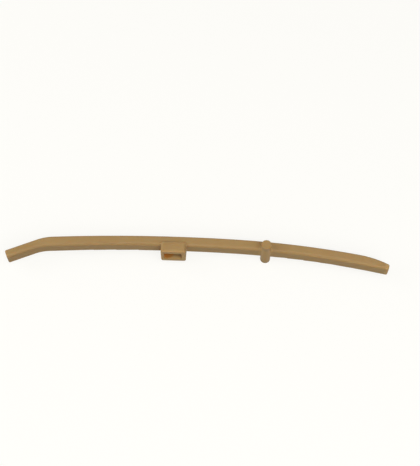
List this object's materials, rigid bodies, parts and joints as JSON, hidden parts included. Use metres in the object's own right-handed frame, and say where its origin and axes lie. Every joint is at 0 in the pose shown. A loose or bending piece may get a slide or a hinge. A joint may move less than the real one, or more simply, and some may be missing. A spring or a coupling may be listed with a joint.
{
  "type": "timing chain guide",
  "caption": "Bowed plastic bar that guides the tight run of an engine's timing chain, with a cross pin and a pocket boss on its back, a bent tail and a ramped lead-in end.",
  "frame": {"origin": "on the cross pin's axis, at the middle of the guide's width", "axes": "+X along the guide towards its ramped lead-in end, +Y towards the chain, +Z along the cross pin"},
  "size_m": [0.1827, 0.0141, 0.0158],
  "materials": {
    "tan_nylon": "matte"
  },
  "bodies": {
    "root": {"guide_rail": "tan_nylon"}
  },
  "joints": []
}
